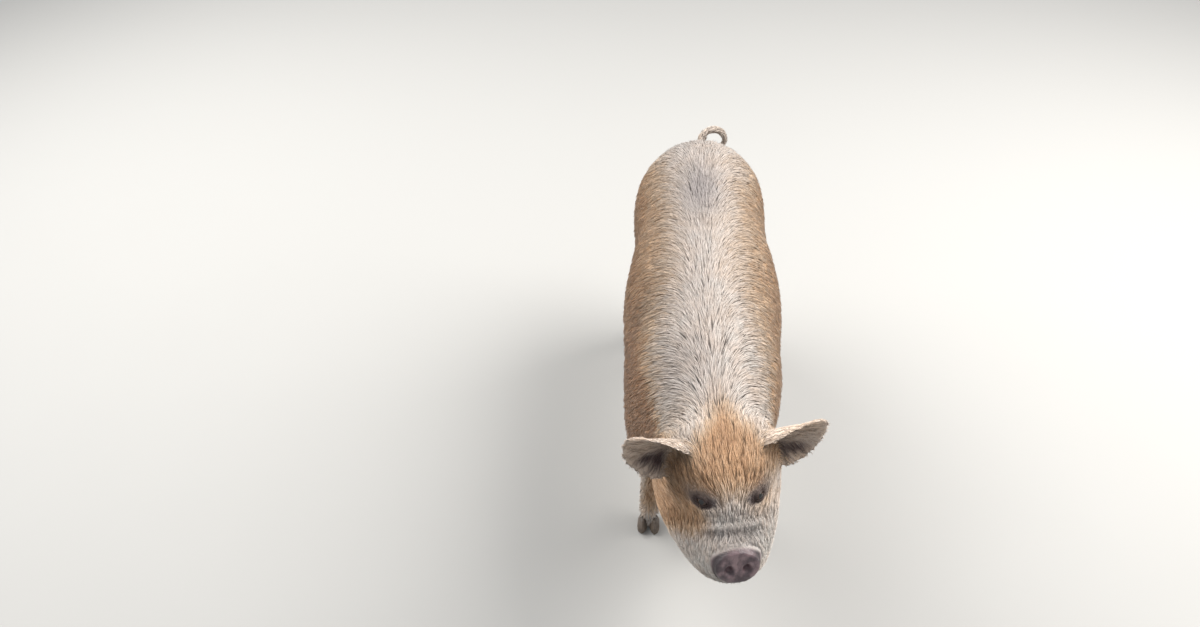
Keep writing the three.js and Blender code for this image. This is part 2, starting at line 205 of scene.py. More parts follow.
mesh = skin.data
web = Web(mesh)
weights = region_weights(mesh, web, REGION_FADE)
outline = places(mesh)
out = normals(mesh)
body = weights["trunk"] + weights["neck"]
border = body * (weights["head"] + weights["leg"])
rounds = by_region(weights, **FAIRING_ROUNDS) + BORDER_ROUNDS * border
faired = outline
for round_done in range(int(rounds.max())):
    share = np.clip(rounds - round_done, 0, 1)[:, None] * FAIRING_STRENGTH
    faired = faired + share * (web.mean(faired) - faired)
faired = faired - weights["ear"][:, None] * web.relax(faired - outline, EAR_SPREAD)
shrunk = web.relax(((faired - outline) * out).sum(1), SHRINKAGE_SPREAD)
thigh = weights["leg"] * smoothstep(THIGH_FROM, THIGH_FULL, outline[:, 2])
depth = by_region(weights, **COAT_DEPTH) + thigh * (COAT_DEPTH["trunk"] - COAT_DEPTH["leg"])
move_to(mesh, faired)
body_weight = np.clip(body + thigh, 0, 1)
move_to(mesh, faired - normals(mesh) * (depth + shrunk * body_weight)[:, None])


# The head's own frame, taken from the eyes and the snout disc: across to the pig's left,
# forward from between the eyes to the disc, and up out of the face.
def middle(node_name):
    low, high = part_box(node_name)
    return np.array((low + high) / 2)


def unit(v):
    return v / np.maximum(np.linalg.norm(v, axis=-1, keepdims=True), 1e-9)


EYE_RADIUS = float((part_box("eye_left")[1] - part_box("eye_left")[0]).z) / 2
eye_at = {1: middle("eye_left"), -1: middle("eye_right")}
between_eyes = (eye_at[1] + eye_at[-1]) / 2
across = unit(eye_at[1] - eye_at[-1])
forward = middle("snout_disc") - between_eyes
forward = unit(forward - across * (forward @ across))
upward = np.cross(forward, across)
face_axes = np.stack([across, forward, upward], 1)


def on_face(spots):
    return (spots - between_eyes) @ face_axes


# The hide is meshed twice finer round the eyes, and once more close to them, so that the lids
# have enough facets to fold.
FINER_REACH = 0.026
FINEST_REACH = 0.022


def refine(mesh, reach):
    form = bmesh.new()
    form.from_mesh(mesh)
    centres = np.array([f.calc_center_median() for f in form.faces])
    to_eye = np.minimum(*[np.linalg.norm(centres - eye_at[side], axis=1) for side in (1, -1)])
    faces = [f for f, keep in zip(form.faces, to_eye < reach) if keep]
    edges = list({e for f in faces for e in f.edges})
    bmesh.ops.subdivide_edges(form, edges=edges, cuts=1, use_grid_fill=True)
    form.to_mesh(mesh)
    form.free()


refine(mesh, FINER_REACH)
refine(mesh, FINEST_REACH)


# Eyelids: thick folds of skin that close over the ball to a slanting slit, with a crease above
# it and a soft bag below. They are drawn out of the hide along the way each eye looks.
SLIT_HALF_LENGTH = 0.0085
SLIT_HALF_HEIGHT = 0.0040
SLIT_DROP = 0.0006
SLIT_SLANT = 0.55
SLIT_ENDS = -0.4
LID_THICKNESS = 0.0013
LID_REACH = 0.021
LID_FULL = 0.0125
LID_LEAST = 0.66
SOCKET_FROM = 0.012
SOCKET_TO = 0.026
BALL_CLEARANCE = 0.003
CREASE = dict(stretch=1.35, radius=0.0082, width=0.0011, depth=0.0008)
BAG = dict(stretch=1.3, radius=0.0125, width=0.0018, depth=0.0007)


def ridge(distance, width):
    return np.exp(-((distance / width) ** 2))


def groove(along, high, stretch, radius, width, depth):
    return depth * ridge(np.hypot(along / stretch, high) - radius, width)


gaze = {}
slit = {}
spots = places(mesh)
out = normals(mesh)
for side in (1, -1):
    to_eye = spots - eye_at[side]
    ring = np.linalg.norm(to_eye, axis=1)
    gaze[side] = unit(out[(ring > SOCKET_FROM) & (ring < SOCKET_TO)].mean(0))
    slant = -side * across + SLIT_SLANT * forward
    slit[side] = unit(slant - gaze[side] * (slant @ gaze[side]))
    over = np.cross(gaze[side], slit[side]) * side
    along = to_eye @ slit[side]
    high = to_eye @ over
    rise = to_eye @ gaze[side]
    reach = np.hypot(along, high)
    lens = 1 - (along / SLIT_HALF_LENGTH) ** 2
    opening = np.abs(high + SLIT_DROP) - SLIT_HALF_HEIGHT * np.maximum(lens, SLIT_ENDS)
    ball = np.sqrt(np.maximum((EYE_RADIUS + LID_THICKNESS) ** 2 - reach ** 2, 0))
    creased = groove(along, high, **CREASE) * (high > 0) + groove(along, high, **BAG) * (high < 0)
    lid = np.maximum(ball, EYE_RADIUS * LID_LEAST) - creased
    behind_ball = np.sqrt(np.maximum((EYE_RADIUS - BALL_CLEARANCE) ** 2 - reach ** 2, 0))
    shape = np.where(opening < 0, behind_ball, lid)
    blend = smoothstep(LID_REACH, LID_FULL, reach) * (ring < SOCKET_TO)
    spots += gaze[side] * ((shape - rise) * blend)[:, None]
move_to(mesh, spots)


# The snout: a raised rim round a flat bare disc with a shallow groove down its middle, nostrils
# pressed deep, and folds of loose skin across the bridge behind it. Each fold is its distance
# in front of the eyes, its depth (less than nothing where it stands up) and its width.
DISC_HALF = np.array((0.033, 0.027))
DISC_REACH = 0.040
DISC_FRONT = -0.004
DISC_GROOVE = 0.0010
DISC_GROOVE_WIDTH = 0.0022
NOSTRIL_AT = np.array((0.0125, -0.001))
NOSTRIL_HALF = np.array((0.0062, 0.0080))
NOSTRIL_DEPTH = 0.007
NOSTRIL_LIP = 0.0011
BRIDGE_FOLDS = (
    (0.022, 0.0009, 0.0030), (0.032, 0.0022, 0.0038), (0.0395, -0.0024, 0.0030),
    (0.050, 0.0022, 0.0060), (0.0625, -0.0012, 0.0030),
)
FOLD_BOW = 1.2


def on_snout(spots):
    from_disc = spots - disc_at
    on_disc = np.stack([from_disc @ across, from_disc @ disc_up], 1)
    return from_disc @ disc_out, on_disc, np.linalg.norm(on_disc / DISC_HALF, axis=1)


disc_at = middle("snout_disc")
spots = places(mesh)
out = normals(mesh)
face = on_face(spots)
near_disc = np.linalg.norm(spots - disc_at, axis=1) < DISC_REACH
disc_out = unit(out[near_disc & (face[:, 1] > on_face(disc_at)[1])].mean(0))
disc_up = unit(upward - disc_out * (upward @ disc_out))
before_disc, on_disc, rim = on_snout(spots)
front = near_disc & (before_disc > DISC_FRONT)
mirrored = np.stack([np.abs(on_disc[:, 0]), on_disc[:, 1]], 1)
nostril = np.linalg.norm((mirrored - NOSTRIL_AT) / NOSTRIL_HALF, axis=1)
press = NOSTRIL_LIP * ridge(nostril - 1.25, 0.3) - NOSTRIL_DEPTH * smoothstep(1.0, 0.35, nostril)
press -= DISC_GROOVE * ridge(on_disc[:, 0], DISC_GROOVE_WIDTH) * (rim < 0.8)
spots += (front * press)[:, None] * disc_out
bowed = face[:, 1] + FOLD_BOW * face[:, 0] ** 2
folds = sum(deep * ridge(bowed - ahead, wide) for ahead, deep, wide in BRIDGE_FOLDS)
folds *= smoothstep(0.050, 0.034, np.abs(face[:, 0])) * smoothstep(-0.035, -0.015, face[:, 2])
move_to(mesh, spots - out * folds[:, None])


# The mouth: a long closed line between the lips, from below the disc back under the cheeks and
# a little upturned. It is pressed into the hide, and the lips swell on each side of it.
MOUTH_LENGTH = 0.105
MOUTH_DEPTH = 0.0032
MOUTH_WIDTH = 0.0022
MOUTH_UPTURN = 0.012
LIP_SWELL = 0.0009
LIP_AT = 0.0055
LIP_WIDTH = 0.003
mouth_height = float(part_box("lower_jaw")[1].z)
spots = places(mesh)
out = normals(mesh)
back = np.linalg.norm(spots - disc_at, axis=1)
line = spots[:, 2] - mouth_height - MOUTH_UPTURN * smoothstep(0.05, MOUTH_LENGTH, back)
mouth = ridge(line, MOUTH_WIDTH) * smoothstep(MOUTH_LENGTH, MOUTH_LENGTH - 0.02, back)
lips = ridge(np.abs(line) - LIP_AT, LIP_WIDTH) * smoothstep(MOUTH_LENGTH, MOUTH_LENGTH - 0.03, back)
below_disc = smoothstep(1.05, 1.25, rim) * (spots[:, 1] < between_eyes[1] + 0.06)
move_to(mesh, spots + out * ((LIP_SWELL * lips - MOUTH_DEPTH * mouth) * below_disc)[:, None])


# The wide plain parts of the hide need fewer facets than the head. They are thinned out, a
# little less on the belly and legs, and the head keeps its own.
HIDE_FACETS = 185000
PLAIN_FROM = 0.13
PLAIN_FULL = 0.22
PLAIN_MOST = 0.66
LOW_DOWN_LESS = 0.22
WEIGHT_STEPS = 20
plain = skin.vertex_groups.new(name="plain")
head_reach = np.linalg.norm(places(mesh) - between_eyes, axis=1)
low_down = smoothstep(0.25, 0.15, places(mesh)[:, 2])
sparing = smoothstep(PLAIN_FROM, PLAIN_FULL, head_reach) * (PLAIN_MOST - LOW_DOWN_LESS * low_down)
for step in range(1, WEIGHT_STEPS + 1):
    members = np.nonzero(np.round(sparing * WEIGHT_STEPS) == step)[0]
    plain.add(members.tolist(), step / WEIGHT_STEPS, "REPLACE")
facets = sum(len(p.vertices) - 2 for p in mesh.polygons)
with_modifier(skin, "DECIMATE", ratio=HIDE_FACETS / facets, vertex_group="plain")
skin.vertex_groups.clear()
mesh = skin.data
mesh.shade_smooth()


# Lie of the hair, at each point of the hide. It springs from the bridge of the nose, runs back
# over the poll and fans out from the middle of the back, round the sides and down. The fan is
# how far the hair turns away from the spine, in degrees, between two angles round the body.
SPINE_Y = (-0.34, -0.15, 0.0, 0.32)
SPINE_X = (0.006, -0.012, -0.016, -0.022)
CORE_HEIGHT = 0.36
LIE_FADE = 12
FAN_AT_SPINE = 6
FAN = ((70, 2, 32), (-14, 60, 95), (-46, 115, 170))
RUMP_FALL = np.array((0, 0, -1.3))
LEG_LIE = np.array((0, 0.25, -1))
LOBE_HANG = np.array((0, 0, -1.3))
web = Web(mesh)
weights = region_weights(mesh, web, LIE_FADE)
spots = places(mesh)
out = normals(mesh)
face = on_face(spots)


def wrapped(spots):
    beside = spots[:, 0] - np.interp(spots[:, 1], SPINE_Y, SPINE_X)
    return np.arctan2(beside, spots[:, 2] - CORE_HEIGHT)


turn = wrapped(spots)
side_of = np.sign(turn)
away = np.degrees(np.abs(turn))
fan = np.radians(FAN_AT_SPINE + sum(more * smoothstep(low, high, away) for more, low, high in FAN))
nothing = np.zeros(len(spots))
round_body = np.stack([np.cos(turn) * side_of, nothing, -np.sin(turn) * side_of], 1)
lie = np.cos(fan)[:, None] * (0, 1, 0) + np.sin(fan)[:, None] * round_body
lie = lie + np.maximum(out[:, 1], 0)[:, None] * RUMP_FALL

whorl = between_eyes + 0.018 * forward - 0.02 * upward
spread = unit(spots - whorl) * smoothstep(0.03, -0.01, face[:, 1])[:, None]
head_lie = unit(spread + 0.28 * (upward * 0.4 - forward))
ear_spots = spots[weights["ear"] > 0.9]
ear_root = between_eyes - 0.07 * forward
ears = {side: unit(ear_spots[np.argmax(side * ear_spots @ across)] - ear_root) for side in (1, -1)}
ear_lie = np.where((face[:, 0] > 0)[:, None], ears[1], ears[-1])
ear_middle = np.where(face[:, 0] > 0, middle("ear_left")[2], middle("ear_right")[2])
ear_lie = ear_lie + smoothstep(0.006, -0.018, spots[:, 2] - ear_middle)[:, None] * LOBE_HANG
tail_middle = middle("tail")
tail_lie = np.cross((0, 1, 0), spots - tail_middle)
lie = (
    lie * (weights["trunk"] + weights["neck"])[:, None]
    + head_lie * (weights["head"] + weights["muzzle"] + weights["disc"])[:, None]
    + ear_lie * weights["ear"][:, None]
    + unit(tail_lie) * weights["tail"][:, None]
    + LEG_LIE * (weights["leg"] + weights["horn"])[:, None]
)
lie = web.relax(lie, LIE_FADE)
lie = unit(lie - out * (lie * out).sum(1)[:, None])


# Markings and painted shade: a broad cream band from the rump to the nape, sand and ginger sides
# that turn rusty low on the right shoulder, a ginger poll and brow, and a pale grey face. Each
# point of the hide keeps its warmth, from white over cream to rust, and how far it is greyed or
# darkened. The darkening is partly real marking and partly painted shade: in the fold behind the
# right shoulder, in the crease across the bridge, in the ear hollows and over the poll and right
# cheek. The crest of the standing fold on the bridge is painted paler as light.
BAND_Y = (-0.30, -0.22, -0.12, 0.0, 0.10, 0.20, 0.30, 0.40)
BAND_HALF_DEGREES = (38, 29, 19, 13, 12, 14, 20, 32)
RUMP_PATCH = ((-0.022, 0.17, 0.52), (0.026, 0.075, 0.05))
NAPE_PATCH = ((-0.05, -0.24, 0.48), (0.035, 0.05, 0.06))
# The shoulder blot is painted shade of the fold behind the right shoulder.
SHOULDER_FOLD_SHADE = ((-0.100, -0.062, 0.47), (0.03, 0.05, 0.035))
FACE_WARMTH = -0.10
POLL_WARMTH = 0.80
LEG_PALE_TO = 0.17
SIDE_FULL_FROM = 0.31
MARKING_AND_SHADE_FADE = 3


def blot(centre, reach):
    return np.exp(-(((spots - np.array(centre)) / np.array(reach)) ** 2).sum(1))


body_at = weights["trunk"] + weights["neck"]
half_band = np.interp(spots[:, 1], BAND_Y, BAND_HALF_DEGREES)
right_side = smoothstep(8, -8, np.degrees(turn))
rump = smoothstep(0.18, 0.40, spots[:, 1])
shoulder = smoothstep(-0.02, -0.18, spots[:, 1])
warmth = (0.52 + 0.05 * right_side) * smoothstep(-12, 20, away - half_band)
warmth += (0.26 - 0.08 * rump) * smoothstep(30, 56, away)
warmth += right_side * smoothstep(35, 60, away) * (0.06 + 0.46 * shoulder)
warmth -= 0.30 * smoothstep(115, 160, away)
warmth *= 0.06 + 0.94 * smoothstep(LEG_PALE_TO, SIDE_FULL_FROM, spots[:, 2])

across_face = face[:, 0]
off_middle = np.abs(across_face)
behind_eyes = smoothstep(0.036, -0.020, face[:, 1] - 0.40 * np.maximum(off_middle - 0.012, 0))
right_cheek = smoothstep(0.020, 0.050, -across_face) * smoothstep(0.070, 0.034, face[:, 1])
left_cheek = smoothstep(0.040, 0.060, across_face) * smoothstep(-0.05, 0.0, face[:, 1])
left_cheek *= smoothstep(-0.30, -0.36, spots[:, 1])
ginger_head = np.maximum(behind_eyes * (1 - 0.75 * left_cheek), right_cheek)
head_warmth = FACE_WARMTH + POLL_WARMTH * ginger_head
beside_poll = np.clip(np.abs(across_face - 0.004), 0, 0.05)
on_head = smoothstep(-0.155, -0.085, face[:, 1] - 1.25 * beside_poll)
before_neck = smoothstep(-0.235, -0.330, spots[:, 1])
on_head *= np.maximum(before_neck, smoothstep(0.065, 0.055, off_middle))
furred = 1 - weights["ear"] - weights["tail"]
warmth = (warmth * (1 - on_head) + head_warmth * on_head) * furred
warmth += 0.10 * weights["ear"] + 0.04 * weights["tail"]

grey = 0.70 * blot(*RUMP_PATCH) + 0.30 * blot(*NAPE_PATCH)
grey += (0.30 + 0.16 * right_side) * smoothstep(34, 5, away) * body_at
upper_face = smoothstep(-0.03, -0.01, face[:, 2])
snout_top = ridge(face[:, 1] - 0.054, 0.019) * smoothstep(0.052, 0.018, off_middle)
bowed = face[:, 1] + FOLD_BOW * face[:, 0] ** 2
# Across the bridge, the standing fold's crest is painted paler as light and the crease behind it darker as
# painted shade.
lit_fold_crest = ridge(bowed - BRIDGE_FOLDS[2][0], 0.0026) * smoothstep(0.052, 0.036, off_middle)
fold_shade = ridge(bowed - BRIDGE_FOLDS[1][0], 0.0022) * smoothstep(0.030, 0.012, off_middle)
grey += 0.05 * weights["muzzle"] + 0.42 * snout_top * upper_face
# Painted shade: the blot behind the right shoulder darkens the fold there.
dark = 0.34 * blot(*SHOULDER_FOLD_SHADE) + 0.26 * snout_top * upper_face + 0.30 * fold_shade
grey *= 1 - 0.8 * lit_fold_crest
dark *= 1 - 0.9 * lit_fold_crest
# Painted shade: the head behind the eyes and the right cheek are darkened.
dark += on_head * (0.12 * behind_eyes + 0.10 * right_cheek)

before_disc, on_disc, rim = on_snout(spots)
snout = smoothstep(1.13, 1.03, rim) * smoothstep(-0.016, -0.010, before_disc)
snout_rim = ridge(rim - 0.97, 0.09) * snout

# Round each eye the skin shows dark and mauve through thin hair, in an oval that slants with the
# lids and ends in a greyish bag towards the nose.
EYE_PATCH_LENGTH = 1.7
EYE_PATCH_DEPTH = 2
BAG_ALONG = 0.0155
BAG_BELOW = 0.0045
lid_ring = np.full(len(spots), 1.0)
for side in (1, -1):
    to_eye = spots - (eye_at[side] + 0.002 * slit[side])
    over = np.cross(gaze[side], slit[side]) * side
    along = to_eye @ slit[side] / EYE_PATCH_LENGTH
    oval = np.stack([along, to_eye @ over, to_eye @ gaze[side] / EYE_PATCH_DEPTH], 1)
    ring = np.linalg.norm(oval, axis=1)
    lid_ring = np.minimum(lid_ring, np.linalg.norm(oval * (1.2, 1, 1), axis=1))
    bag_at = eye_at[side] + BAG_ALONG * slit[side] - BAG_BELOW * over
    dark += 0.86 * smoothstep(0.0150, 0.0062, ring) + 0.22 * blot(bag_at, (0.008, 0.010, 0.008))
    grey += 0.62 * smoothstep(0.021, 0.010, ring) + 0.45 * blot(bag_at, (0.010, 0.012, 0.010))

# Inside the ears the deep hollow is painted dark as shade, the skin round it a dull brownish
# grey, and the rim and lobe as pale as the back of the ear. Each hollow is two soft blots, a centre
# and a reach.
EAR_HOLLOWS = {
    1: (
        ((0.090, -0.333, 0.441), (0.018, 0.02, 0.013)),
        ((0.112, -0.328, 0.443), (0.020, 0.02, 0.009)),
    ),
    -1: (
        ((-0.078, -0.368, 0.449), (0.015, 0.02, 0.016)),
        ((-0.093, -0.374, 0.455), (0.015, 0.02, 0.009)),
    ),
}
EAR_EDGE_SPREAD = 14
nose_level = unit(forward * (1, 1, 0))
inside_ear = np.zeros(len(spots))
hollow_shade = np.zeros(len(spots))
for side in (1, -1):
    mine = side * face[:, 0] > 0
    ear_faces = unit(0.95 * nose_level + 0.15 * side * across + np.array((0, 0, 0.2)))
    inner = mine * weights["ear"] * smoothstep(-0.05, 0.35, out @ ear_faces)
    inside_ear += inner
    for hollow, reach in EAR_HOLLOWS[side]:
        hollow_shade = np.maximum(hollow_shade, inner * blot(hollow, reach))
ear_edge = web.relax(inside_ear, EAR_EDGE_SPREAD)
ear_edge = weights["ear"] * smoothstep(0.75, 0.98, 4 * ear_edge * (1 - ear_edge))
round_hollow = inside_ear * (1 - hollow_shade) * (1 - ear_edge)
# The hollow is painted dark as shade; the ring round it keeps its own dull colour.
dark += 0.90 * np.clip(1.25 * hollow_shade, 0, 1) + 0.10 * round_hollow
grey += 0.30 * round_hollow
warmth += 0.20 * round_hollow
markings_and_shade = np.clip(np.stack([warmth, grey, dark], 1), (-0.2, 0, 0), 1.4)
markings_and_shade = web.relax(markings_and_shade, MARKING_AND_SHADE_FADE)
thin_haired = 0.8 * weights["ear"] + 0.8 * weights["muzzle"] + 0.5 * weights["leg"]
bare = np.clip(snout + thin_haired, 0, 1)


def keep_vectors(mesh, name, values):
    layer = mesh.attributes.new(name, "FLOAT_VECTOR", "POINT")
    layer.data.foreach_set("vector", np.ascontiguousarray(values, dtype=np.float32).ravel())


keep_vectors(mesh, "markings_and_shade", markings_and_shade)
keep_vectors(mesh, "skin", np.stack([bare, snout_rim, snout], 1))


# The colours of skin and hair alike, as one shader group. Warmth runs from white and cream over
# sand and ginger to rust, with a soft mottling, and the grey and dark areas are laid over it; the
# dark is partly real marking and partly painted shade.
WHITE = (0.68, 0.650, 0.610)
CREAM = (0.74, 0.645, 0.570)
SAND = (0.68, 0.50, 0.345)
GINGER = (0.60, 0.365, 0.200)
RUST = (0.44, 0.235, 0.118)
MAUVE_GREY = (0.375, 0.335, 0.325)
DUSK = (0.052, 0.026, 0.023)
COLDEST = -0.2
WARMTH_SPAN = 1.2
WARM_COLOURS = ((COLDEST, WHITE), (0.0, CREAM), (0.38, SAND), (0.72, GINGER), (1.0, RUST))
MOTTLE = 0.5
MOTTLE_SCALE = 24


def node(tree, kind, **sockets):
    made = tree.nodes.new("ShaderNode" + kind)
    for name, value in sockets.items():
        made.inputs[name].default_value = value
    return made


def worked_out(tree, operation, first, second=None, third=None):
    made = tree.nodes.new("ShaderNodeMath")
    made.operation = operation
    for socket, value in zip(made.inputs, (first, second, third)):
        if isinstance(value, bpy.types.NodeSocket):
            tree.links.new(value, socket)
        elif value is not None:
            socket.default_value = value
    return made.outputs[0]


def at_object(tree, made):
    where = tree.nodes.new("ShaderNodeTexCoord").outputs["Object"]
    tree.links.new(where, made.inputs["Vector"])
    return made.outputs


def mixed(tree, amount, below, above):
    made = tree.nodes.new("ShaderNodeMix")
    made.data_type = "RGBA"
    tree.links.new(amount, made.inputs[0])
    for socket, colour in ((made.inputs[6], below), (made.inputs[7], above)):
        if isinstance(colour, bpy.types.NodeSocket):
            tree.links.new(colour, socket)
        else:
            socket.default_value = (*colour, 1)
    return made.outputs[2]


def split(tree, name):
    values = tree.nodes.new("ShaderNodeAttribute")
    values.attribute_name = name
    parts = tree.nodes.new("ShaderNodeSeparateXYZ")
    tree.links.new(values.outputs["Vector"], parts.inputs[0])
    return values.outputs["Vector"], parts.outputs


def through_colours(tree, amount, stops):
    ramp = tree.nodes.new("ShaderNodeValToRGB")
    elements = ramp.color_ramp.elements
    while len(elements) < len(stops):
        elements.new(0.5)
    for element, (place, colour) in zip(elements, stops):
        element.position = place
        element.color = (*colour, 1)
    tree.links.new(amount, ramp.inputs[0])
    return ramp.outputs[0]


coat_colours = bpy.data.node_groups.new("coat_colours", "ShaderNodeTree")
coat_colours.interface.new_socket("Tint", in_out="INPUT", socket_type="NodeSocketFloat")
coat_colours.interface.new_socket("Color", in_out="OUTPUT", socket_type="NodeSocketColor")
tint_in = coat_colours.nodes.new("NodeGroupInput").outputs["Tint"]
_, (warm_part, grey_part, dark_part) = split(coat_colours, "markings_and_shade")
mottle = at_object(coat_colours, node(coat_colours, "TexNoise", Scale=MOTTLE_SCALE, Detail=4))[0]
mottled = worked_out(coat_colours, "MULTIPLY_ADD", mottle, MOTTLE, warm_part)
tinted = worked_out(coat_colours, "ADD", mottled, tint_in)
centred = worked_out(
    coat_colours, "MULTIPLY_ADD", tinted, 1 / WARMTH_SPAN, (-COLDEST - MOTTLE / 2) / WARMTH_SPAN
)
warm_stops = [((warm - COLDEST) / WARMTH_SPAN, colour) for warm, colour in WARM_COLOURS]
warm = through_colours(coat_colours, centred, warm_stops)
greyed = mixed(coat_colours, grey_part, warm, MAUVE_GREY)
darkened = mixed(coat_colours, dark_part, greyed, DUSK)
coat_colours.links.new(darkened, coat_colours.nodes.new("NodeGroupOutput").inputs["Color"])


# The skin itself: the coat's own colours, painted dim under the hair as shade, and a mauve snout
# disc with dark blotches, damp and pored. It is one closed piece that stands for all the flesh.
SNOUT_PINK = (0.230, 0.158, 0.168)
SNOUT_DARK = (0.080, 0.056, 0.063)
SNOUT_RIM = (0.040, 0.030, 0.034)
BLOTCH_SCALE = 75
PORE_SCALE = 620
WRINKLE_SCALE = 130
SHADE_UNDER_HAIR = 0.58
SHADE_WHERE_BARE = 0.98


def finish_named(name, **constants):
    material = bpy.data.materials.new(name)
    material.use_nodes = True
    shader = material.node_tree.nodes["Principled BSDF"]
    for key, value in constants.items():
        shader.inputs[key.replace("_", " ")].default_value = value
    return material, material.node_tree, shader.inputs


def coloured(tree, tint=None):
    made = tree.nodes.new("ShaderNodeGroup")
    made.node_tree = coat_colours
    made.inputs["Tint"].default_value = 0
    if tint:
        tree.links.new(tint, made.inputs["Tint"])
    return made.outputs["Color"]


def scaled(tree, colour, amount):
    made = tree.nodes.new("ShaderNodeVectorMath")
    made.operation = "SCALE"
    tree.links.new(colour, made.inputs[0])
    tree.links.new(amount, made.inputs["Scale"])
    return made.outputs[0]


def ranged(tree, value, low, high, from_low=0.0, from_high=1.0):
    made = tree.nodes.new("ShaderNodeMapRange")
    for socket, number in zip(made.inputs[1:5], (from_low, from_high, low, high)):
        socket.default_value = number
    tree.links.new(value, made.inputs[0])
    return made.outputs[0]


def bumped(tree, height, distance, strength=1.0):
    made = node(tree, "Bump", Strength=strength, Distance=distance)
    tree.links.new(height, made.inputs["Height"])
    return made.outputs["Normal"]


skin_finish, tree, shader = finish_named("hide", Subsurface_Weight=0.04)
shader["Subsurface Radius"].default_value = (0.004, 0.0016, 0.001)
_, (bare_part, rim_part, snout_part) = split(tree, "skin")
# Painted shade: the skin is dimmed where hair lies over it, less where it is bare.
shade = ranged(tree, bare_part, SHADE_UNDER_HAIR, SHADE_WHERE_BARE)
blotches = at_object(tree, node(tree, "TexNoise", Scale=BLOTCH_SCALE, Detail=4))[0]
blotched = mixed(tree, ranged(tree, blotches, 0, 1, 0.42, 0.62), SNOUT_PINK, SNOUT_DARK)
snout_colour = mixed(tree, rim_part, blotched, SNOUT_RIM)
skin_colour = mixed(tree, snout_part, scaled(tree, coloured(tree), shade), snout_colour)
tree.links.new(skin_colour, shader["Base Color"])
pores = at_object(tree, node(tree, "TexVoronoi", Scale=PORE_SCALE))["Distance"]
wrinkles = at_object(tree, node(tree, "TexNoise", Scale=WRINKLE_SCALE, Detail=5))[0]
grain = worked_out(tree, "MULTIPLY_ADD", pores, 0.5, wrinkles)
tree.links.new(bumped(tree, grain, 0.0012, 0.7), shader["Normal"])
tree.links.new(ranged(tree, snout_part, 0.72, 0.34), shader["Roughness"])
mesh.materials.clear()
mesh.materials.append(skin_finish)
flesh = [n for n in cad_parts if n.split("_")[0] not in ("hoof", "dewclaw", "eye")]
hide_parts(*flesh)
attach(skin, "root")


# Eyes: dark brown and wet, with a round pupil and a slightly domed front. Each is one ball set
# deep in the lids, with its rings of colour about the way it looks.
IRIS_DEGREES = 44
PUPIL_DEGREES = 19
BALL_SCALE = 0.985
DOME = 0.045
DOME_FULL_DEGREES = 8
EYE_RINGS = (
    (0.0, (0.004, 0.003, 0.003)), (PUPIL_DEGREES / 90, (0.005, 0.004, 0.003)),
    ((PUPIL_DEGREES + 4) / 90, (0.055, 0.024, 0.010)), (IRIS_DEGREES / 90, (0.030, 0.014, 0.007)),
    ((IRIS_DEGREES + 6) / 90, (0.018, 0.011, 0.008)), (1.0, (0.16, 0.11, 0.09)),
)
eye_finish, tree, shader = finish_named("eye", Coat_Weight=1.0, Coat_Roughness=0.02, IOR=1.38)
_, (from_gaze, _, _) = split(tree, "ring")
tree.links.new(through_colours(tree, from_gaze, EYE_RINGS), shader["Base Color"])
fibres = at_object(tree, node(tree, "TexNoise", Scale=420, Detail=3))[0]
tree.links.new(ranged(tree, fibres, 0.05, 0.16), shader["Roughness"])
tree.links.new(bumped(tree, fibres, 0.00008), shader["Normal"])
for side, name in ((1, "eye_left"), (-1, "eye_right")):
    ball = bmesh.new()
    bmesh.ops.create_uvsphere(ball, u_segments=56, v_segments=40, radius=EYE_RADIUS * BALL_SCALE)
    ball_mesh = bpy.data.meshes.new("ball")
    ball.to_mesh(ball_mesh)
    ball.free()
    upright = np.cross(gaze[side], slit[side])
    turned = places(ball_mesh) @ np.stack([slit[side], upright, gaze[side]])
    angle = np.degrees(np.arccos(np.clip(unit(turned) @ gaze[side], -1, 1)))
    domed = turned * (1 + DOME * smoothstep(IRIS_DEGREES, DOME_FULL_DEGREES, angle))[:, None]
    move_to(ball_mesh, domed + eye_at[side])
    keep_vectors(ball_mesh, "ring", np.stack([angle / 90, angle * 0, angle * 0], 1))
    ball_mesh.shade_smooth()
    ball_mesh.materials.append(eye_finish)
    eye = shown(name + "_ball", ball_mesh)
    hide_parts(name)
    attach(eye, "root")


# Hooves and dewclaws: grey-brown horn, grown in fine rings, scuffed and dusty at the ground.
# Each keeps its solid's form with the edges worn round, and closes over the foot inside it.
HORN_GRAIN = 0.0013
HORN_WEAR = 3
HORN_COLOURS = ((0.3, (0.030, 0.024, 0.020)), (0.72, (0.13, 0.10, 0.078)))
DUST = (0.15, 0.115, 0.085)
DUST_TO = 0.020
horn_finish, tree, shader = finish_named("horn", Coat_Weight=0.08)
growth = node(tree, "TexWave", Scale=95, Distortion=2.2, Detail=3)
growth.bands_direction = "Z"
rings = at_object(tree, growth)[0]
stain = at_object(tree, node(tree, "TexNoise", Scale=70, Detail=5))[0]
height = tree.nodes.new("ShaderNodeSeparateXYZ")
dusty = ranged(tree, at_object(tree, height)["Z"], 0, 0.7, DUST_TO, 0.002)
stained = through_colours(tree, stain, HORN_COLOURS)
tree.links.new(mixed(tree, dusty, stained, DUST), shader["Base Color"])
tree.links.new(bumped(tree, rings, 0.0004, 0.6), shader["Normal"])
tree.links.new(ranged(tree, stain, 0.38, 0.75), shader["Roughness"])
